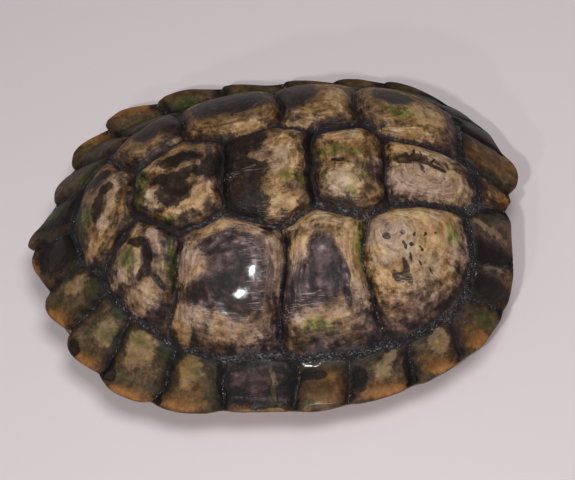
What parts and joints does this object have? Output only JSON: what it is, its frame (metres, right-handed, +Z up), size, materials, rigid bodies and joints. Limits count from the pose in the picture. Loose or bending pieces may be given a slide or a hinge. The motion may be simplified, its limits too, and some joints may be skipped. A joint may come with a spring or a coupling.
{
  "type": "turtle shell",
  "caption": "Empty domed pond-turtle shell with raised horny shields, a serrated rear rim, and a flat belly plate to rest on, hollow inside and open at neck, legs and tail.",
  "frame": {"origin": "middle of the shell's outline, in the plane of the flat belly face that it rests on", "axes": "+X to the neck end, +Y to the animal's left, +Z up through the dome"},
  "size_m": [0.2061, 0.1642, 0.0692],
  "materials": {
    "horn_shields": "satin",
    "belly_horn": "satin"
  },
  "bodies": {
    "root": {"carapace": "horn_shields", "plastron": "belly_horn"}
  },
  "joints": []
}
